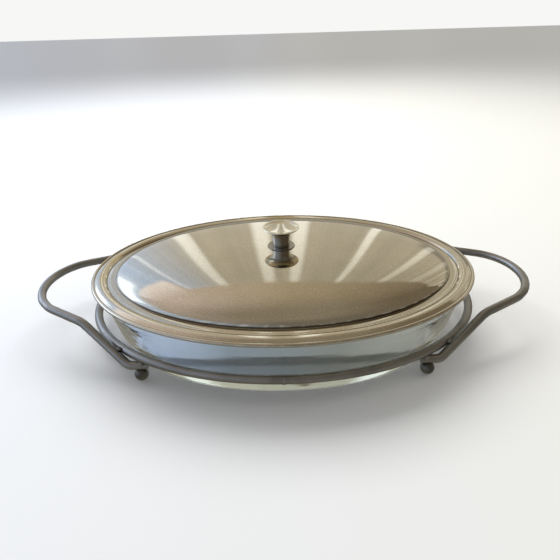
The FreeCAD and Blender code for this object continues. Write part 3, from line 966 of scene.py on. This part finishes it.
# ------------------------------------------------------------------ the wire stand
@dataclass
class WireStand:
    """Welded wire frame with loop handles and ball feet."""

    rows: Tuple[str, ...] = ("front", "rear")
    bead_half: float = 2.35 * MM
    bead_thick: float = 1.75 * MM
    bead_steps: int = 32
    bead_sides: int = 20
    bead_start: float = -0.985
    bead_span: float = 1.97
    ripples: float = 5.0
    ripple_height: float = 0.09

    def build(self) -> None:
        """Dress the ring, handles, balls and welds."""
        wire = WIRE_STEEL.make()
        ball = BALL_STEEL.make()
        weld = WELD_METAL.make()
        dress("support_ring", wire)
        dress("ring_butt_weld", weld)
        _, oval_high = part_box("support_ring")
        for side in Side:
            end = side.name.lower()
            dress(end + "_handle", wire)
            for row in self.rows:
                dress(f"{end}_{row}_ball_foot", ball)
                for joint in ("foot_weld", "leg_weld"):
                    self.run_bead(f"{end}_{row}_{joint}", Vector(oval_high), weld)

    def run_bead(self, node: str, oval_high: Vector, material: bpy.types.Material) -> None:
        """Lay a rippled weld bead along the ring, in place of a plain weld node.

        Args:
            node: Weld node that the bead replaces.
            oval_high: Highest corner of the ring's box.
            material: Finish of the weld.
        """
        low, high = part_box(node)
        centre = (Vector(low) + Vector(high)) / 2.0
        half_x, half_y = oval_high.x, oval_high.y
        along = Vector((-centre.y / half_y ** 2, centre.x / half_x ** 2, 0)).normalized()
        aside = Vector((0, 0, 1)).cross(along)
        rings = []
        for step in range(self.bead_steps + 1):
            t = self.bead_start + self.bead_span * step / self.bead_steps
            ripple = 1.0 + self.ripple_height * math.cos(self.ripples * math.pi * t)
            thick = self.bead_thick * math.sqrt(1.0 - t * t) * ripple
            turns = [2 * math.pi * i / self.bead_sides for i in range(self.bead_sides)]
            rings.append([
                centre + along * (t * self.bead_half) + aside * (thick * math.cos(turn))
                + Vector((0, 0, thick * math.sin(turn)))
                for turn in turns])
        seat(ring_mesh(node + "_bead", rings, True, True), "stand", "weld_metal", material, node)


# ------------------------------------------------------------------ floor, light and camera
@dataclass
class StudioSet:
    """Pale table, soft light and the camera."""

    table_reach: float = 9.0
    table_front: float = 3.0
    camera_share: float = 0.10
    mirror_share: float = 0.9
    glass_share: float = 0.75
    # painted light: the table is tinted cool at the left and warm at the right
    table_cool_light_left: Colour = (0.80, 0.815, 0.85)
    table_warm_light_right: Colour = (0.83, 0.815, 0.75)
    table_glow: Colour = (0.94, 0.945, 0.95)
    # painted reflection: the table as the steel mirrors it, painted dark as if in shade
    table_mirror_shade: Colour = (0.25, 0.23, 0.185)
    # painted light and shade under the dish, seen only through the glass: bluish at the left, darker in the
    # middle
    painted_light_and_shade_under_dish: Stops = ((0.05, (0.5, 0.6, 0.8)), (0.3, (0.25, 0.3, 0.35)), (0.7, (0.25, 0.26, 0.24)),
                         (0.95, (0.4, 0.4, 0.35)))
    # painted shadow: a soft dark band across the table under the dish, seen only through the glass
    shadow_band_back: Tuple[float, float] = (-0.071, -0.066)
    shadow_band_front: Tuple[float, float] = (-0.076, -0.083)
    shadow_band_depth: float = 0.25
    shadow_band_after: float = 0.62
    lens: float = 29.57
    sensor: float = 36.0
    right: Tuple[float, float, float] = (0.9997, -0.0039, -0.0261)
    up: Tuple[float, float, float] = (0.0246, 0.4955, 0.8682)
    ahead: Tuple[float, float, float] = (-0.0095, 0.8686, -0.4955)
    place: Tuple[float, float, float] = (0.0020, -0.3720, 0.2487)
    drape: Stops = ((-180, (0.2, 0.2, 0.2)), (-80, (0.65, 0.8, 1.1)), (-35, (0.65, 0.8, 1.1)),
                    (-15, (0.6, 0.55, 0.45)), (70, (0.5, 0.45, 0.35)), (80, (0.2, 0.15, 0.1)),
                    (180, (0.2, 0.2, 0.2)))
    ceiling: Stops = ((-180, (0.2, 0.18, 0.15)), (-45, (0.7, 0.6, 0.55)), (0, (0.5, 0.42, 0.3)),
                      (60, (0.2, 0.16, 0.11)), (180, (0.2, 0.18, 0.15)))
    overhead: Colour = (0.30, 0.26, 0.20)
    backdrop: Colour = (0.93, 0.93, 0.92)
    # each patch is (low, high, softness) round the room and (low, high, softness) upwards, in degrees
    glare_patch: Tuple[Limits, Limits] = ((-92.0, -50.0, 8.0), (0.0, 40.0, 10.0))
    pane_patch: Tuple[Limits, Limits] = ((-86.0, -44.5, 3.0), (8.0, 33.0, 4.0))
    glare: Colour = (1.05, 1.30, 1.70)
    pane: Colour = (1.60, 1.80, 2.20)
    spill: Colour = (0.40, 0.42, 0.50)
    front_light: Colour = (0.16, 0.16, 0.16)
    back_light: Colour = (0.86, 0.87, 0.90)
    fold_light: Colour = (0.55, 0.58, 0.60)
    fold_spacing: float = 11.0
    fold_shift: float = -6.0
    fold_drift: float = 2.5
    fold_spread: float = 30.0
    fold_softness: float = 12.0
    fold_least: float = 0.3
    fold_unevenness: float = 5.0
    fold_edge: Tuple[float, float] = (0.45, 0.95)
    sway_fineness: float = 16.0
    sway_range: Tuple[float, float] = (0.94, 1.06)
    # each slope is (angle at the start, angle at the end, value at the start, value at the end), in degrees
    fold_fade: Slope = (18.0, 46.0, 1.0, 0.6)
    drape_fade: Slope = (20.0, 44.0, 1.0, 0.86)
    dim_right: Slope = (22.0, 28.0, 0.0, 0.42)
    dim_low: Slope = (15.0, 8.0, 0.0, 1.0)
    overhead_fade: Slope = (50.0, 80.0, 0.0, 1.0)
    spill_patch: Limits = (-62.0, -30.5, 1.5)
    spill_fade: Slope = (52.0, 38.0, 0.0, 1.0)
    # the drape's top edge above the table, which climbs beside the window and sinks to the right
    top_left: Slope = (-31.0, -28.5, 37.5, 46.5)
    top_right: Slope = (15.0, 58.0, 0.0, -9.5)
    top_far_right: Slope = (58.0, 74.0, 0.0, -20.0)
    top_softness: float = 1.6

    def lay_table(self) -> None:
        """Lay the pale table, with painted light and shadow under the dish that only the glass sees, a
        painted dark shade in what the steel mirrors and a painted cool-to-warm light tint from left to right.
        """
        mesh = bpy.data.meshes.new("table_top")
        reach, front = self.table_reach, -self.table_front
        corners = [(-reach, front, 0), (reach, front, 0), (reach, reach, 0), (-reach, reach, 0)]
        mesh.from_pydata(corners, [], [(0, 1, 2, 3)])
        table = bpy.data.objects.new("table_top", mesh)
        bpy.context.scene.collection.objects.link(table)
        material = bpy.data.materials.new("TableTop")
        material.use_nodes = True
        shader = material.node_tree.nodes["Principled BSDF"]
        shader.inputs["Roughness"].default_value = 0.5
        bench = NodeBench(material.node_tree)
        glow = bench.add("ShaderNodeEmission")
        path = bench.add("ShaderNodeLightPath")
        mirrored = path.outputs["Is Glossy Ray"]
        split = bench.add("ShaderNodeSeparateXYZ")
        bench.wire(bench.place(), split.inputs[0])
        # painted light: cool tint at the left, warm at the right
        wide = bench.remap(split.outputs["X"], -0.45, 0.45)
        base = bench.mix(wide, rgba(self.table_cool_light_left), rgba(self.table_warm_light_right))
        bench.wire(base, shader.inputs["Base Color"])
        through = path.outputs["Is Transmission Ray"]
        # painted light and shade under the dish, for rays through the glass
        under = bench.ramp(bench.remap(split.outputs["X"], -0.17, 0.17), self.painted_light_and_shade_under_dish)
        # painted reflection: mirror rays see the table in its painted dark shade colour
        glow_colour = bench.mix(mirrored, rgba(self.table_glow), rgba(self.table_mirror_shade))
        # painted shadow: a dark band across the table, for rays through the glass
        behind = bench.remap(split.outputs["Y"], *self.shadow_band_back, self.shadow_band_depth, 1.0)
        before = bench.remap(split.outputs["Y"], *self.shadow_band_front, self.shadow_band_depth, self.shadow_band_after)
        painted_shadow_band = bench.math("MAXIMUM", behind, before)
        bench.wire(bench.mix(through, glow_colour, bench.scale(under, painted_shadow_band)), glow.inputs["Color"])
        share = bench.math("MULTIPLY", path.outputs["Is Camera Ray"], self.camera_share)
        share = bench.math("MAXIMUM", share, bench.math("MULTIPLY", mirrored, self.mirror_share))
        share = bench.math("MAXIMUM", share, bench.math("MULTIPLY", through, self.glass_share))
        blend = bench.add("ShaderNodeMixShader")
        bench.wire(share, blend.inputs[0])
        bench.wire(shader.outputs[0], blend.inputs[1])
        bench.wire(glow.outputs[0], blend.inputs[2])
        bench.wire(blend.outputs[0], material.node_tree.nodes["Material Output"].inputs["Surface"])
        table.data.materials.append(material)

    def hang_lamp(self, name: str, place: Tuple[float, float, float], size: Tuple[float, float], power: float,
                  colour: Colour) -> None:
        """Hang a soft lamp that faces the dish and isn't seen in polished steel.

        Args:
            name: Name of the lamp.
            place: Where it hangs.
            size: Width and height of its face.
            power: Watts.
            colour: Its colour.
        """
        lamp = bpy.data.lights.new(name, "AREA")
        lamp.shape = "RECTANGLE"
        lamp.size, lamp.size_y = size
        lamp.energy = power
        lamp.color = colour
        holder = bpy.data.objects.new(name, lamp)
        holder.location = place
        holder.visible_glossy = False
        holder.rotation_euler = (Vector((0, 0, 0.04)) - Vector(place)).to_track_quat("-Z", "Y").to_euler()
        bpy.context.scene.collection.objects.link(holder)

    def light_room(self) -> None:
        """Light the room evenly, with a folded pale drape and a dim ceiling for the steel to mirror."""
        world = bpy.data.worlds.new("SoftRoom")
        bpy.context.scene.world = world
        world.use_nodes = True
        bench = NodeBench(world.node_tree)
        back = world.node_tree.nodes["Background"]
        look = bench.add("ShaderNodeTexCoord").outputs["Generated"]
        split = bench.add("ShaderNodeSeparateXYZ")
        bench.wire(look, split.inputs[0])
        rise = bench.math("ARCSINE", split.outputs["Z"])
        bearing = bench.math("ARCTAN2", split.outputs["X"], split.outputs["Y"])
        walls = self.room_walls(bench, bearing, rise)
        glare, pane = (
            bench.math("MULTIPLY", self.band(bench, bearing, *across), self.band(bench, rise, *upwards))
            for across, upwards in (self.glare_patch, self.pane_patch))
        mirror = bench.mix(bench.math("MULTIPLY", glare, 0.4), walls, rgba(self.glare))
        mirror = bench.mix(pane, mirror, rgba(self.pane))
        ambient = bench.remap(split.outputs["Y"], -0.5, 0.8)
        path = bench.add("ShaderNodeLightPath")
        even = bench.mix(ambient, rgba(self.front_light), rgba(self.back_light))
        seen = bench.mix(path.outputs["Is Glossy Ray"], even, mirror)
        white = bench.math("MAXIMUM", path.outputs["Is Camera Ray"], path.outputs["Is Transmission Ray"])
        bench.wire(bench.mix(white, seen, rgba(self.backdrop)), back.inputs["Color"])
        back.inputs["Strength"].default_value = 1.0

    def band(self, bench: NodeBench, angle: object, low: float, high: float, soft: float) -> Socket:
        """Soft mask of an angle between two others, in degrees.

        Args:
            bench: Bench of the node tree.
            angle: Angle as a socket, in radians.
            low: Lower limit in degrees.
            high: Upper limit in degrees.
            soft: Half width of each soft edge in degrees.

        Returns:
            The mask.
        """
        enter = bench.remap(angle, math.radians(low - soft), math.radians(low + soft))
        leave = bench.remap(angle, math.radians(high + soft), math.radians(high - soft))
        return bench.math("MULTIPLY", enter, leave)

    def room_walls(self, bench: NodeBench, bearing: Socket, rise: Socket) -> Socket:
        """Room that the steel mirrors: cool light at one side, a folded drape behind, dim elsewhere.

        Args:
            bench: Bench of the world.
            bearing: Angle round the room, 0 straight behind the dish.
            rise: Angle above the table.

        Returns:
            The colour in that direction.
        """
        around = bench.math("ADD", bench.math("DIVIDE", bearing, 2.0 * math.pi), 0.5)
        drape = bench.ramp(around, [(0.5 + turn / 360.0, tone) for turn, tone in self.drape])
        ceiling = bench.ramp(around, [(0.5 + turn / 360.0, tone) for turn, tone in self.ceiling])
        uneven = bench.add("ShaderNodeTexNoise", noise_dimensions="1D")
        bench.wire(bearing, uneven.inputs["W"])
        uneven.inputs["Scale"].default_value = self.fold_unevenness
        drift = bench.remap(uneven.outputs["Fac"], 0.3, 0.7, -self.fold_drift, self.fold_drift)
        drift = bench.math("SUBTRACT", drift, self.fold_shift)
        turn = bench.math("ADD", bench.math("DEGREES", bearing), drift)
        wave = bench.math("COSINE", bench.math("MULTIPLY", turn, 2.0 * math.pi / self.fold_spacing))
        behind = self.band(bench, bearing, -self.fold_spread, self.fold_spread, self.fold_softness)
        fading = bench.math("MAXIMUM", behind, self.fold_least)
        light = bench.math("MULTIPLY", bench.remap(wave, *self.fold_edge), fading)
        light = bench.math("MULTIPLY", light, self.climb(bench, rise, *self.fold_fade))
        sway = bench.add("ShaderNodeTexNoise", noise_dimensions="1D")
        bench.wire(bearing, sway.inputs["W"])
        sway.inputs["Scale"].default_value = self.sway_fineness
        sway.inputs["Detail"].default_value = 3.0
        level = bench.remap(sway.outputs["Fac"], 0.3, 0.7, *self.sway_range)
        level = bench.math("MULTIPLY", level, self.climb(bench, rise, *self.drape_fade))
        low_right = bench.math("MULTIPLY", self.climb(bench, bearing, *self.dim_right),
                               self.climb(bench, rise, *self.dim_low))
        level = bench.math("MULTIPLY", level, bench.math("SUBTRACT", 1.0, low_right))
        drape = bench.scale(drape, level)
        drape = bench.join(drape, bench.scale(self.fold_light, light))
        ceiling = bench.mix(self.climb(bench, rise, *self.overhead_fade), ceiling, rgba(self.overhead))
        lobe = bench.math("MULTIPLY", self.band(bench, bearing, *self.spill_patch),
                          self.climb(bench, rise, *self.spill_fade))
        ceiling = bench.join(ceiling, bench.scale(self.spill, lobe))
        edge = bench.math("ADD", self.climb(bench, bearing, *self.top_left),
                          self.climb(bench, bearing, *self.top_right))
        edge = bench.math("ADD", edge, self.climb(bench, bearing, *self.top_far_right))
        above = bench.math("SUBTRACT", bench.math("DEGREES", rise), edge)
        return bench.mix(bench.remap(above, self.top_softness, -self.top_softness), ceiling, drape)

    def climb(self, bench: NodeBench, angle: object, low: float, high: float, first: float, last: float
              ) -> Socket:
        """Value that goes from first to last as an angle goes from low to high, in degrees."""
        return bench.remap(angle, math.radians(low), math.radians(high), first, last)

    def set_camera(self) -> None:
        """Stand the camera where the dish is seen from, a little above its front."""
        data = bpy.data.cameras.new("view")
        data.lens = self.lens
        data.sensor_width = self.sensor
        camera = bpy.data.objects.new("view", data)
        turn = Matrix((Vector(self.right), Vector(self.up), -Vector(self.ahead))).transposed().to_4x4()
        camera.matrix_world = Matrix.Translation(self.place) @ turn
        bpy.context.scene.collection.objects.link(camera)
        bpy.context.scene.camera = camera

    def build(self) -> None:
        """Set the whole stage."""
        self.set_camera()
        self.lay_table()
        self.light_room()
        self.hang_lamp("window_back", (-0.25, 1.05, 1.40), (1.8, 1.0), 31.0, (0.98, 0.99, 1.0))
        self.hang_lamp("window_left", (-1.2, 0.45, 0.75), (0.7, 0.7), 3.0, (0.80, 0.90, 1.0))
        self.hang_lamp("warm_right", (1.3, 0.1, 0.9), (0.8, 0.8), 2.5, (1.0, 0.94, 0.82))
        bpy.context.scene.view_settings.view_transform = "Standard"


def main() -> None:
    """Build every sub-assembly in order."""
    logging.basicConfig(level=logging.INFO)
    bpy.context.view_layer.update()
    StudioSet().build()
    DomedLid().build()
    GlassDish().build()
    WireStand().build()


if __name__ == "__main__":
    main()
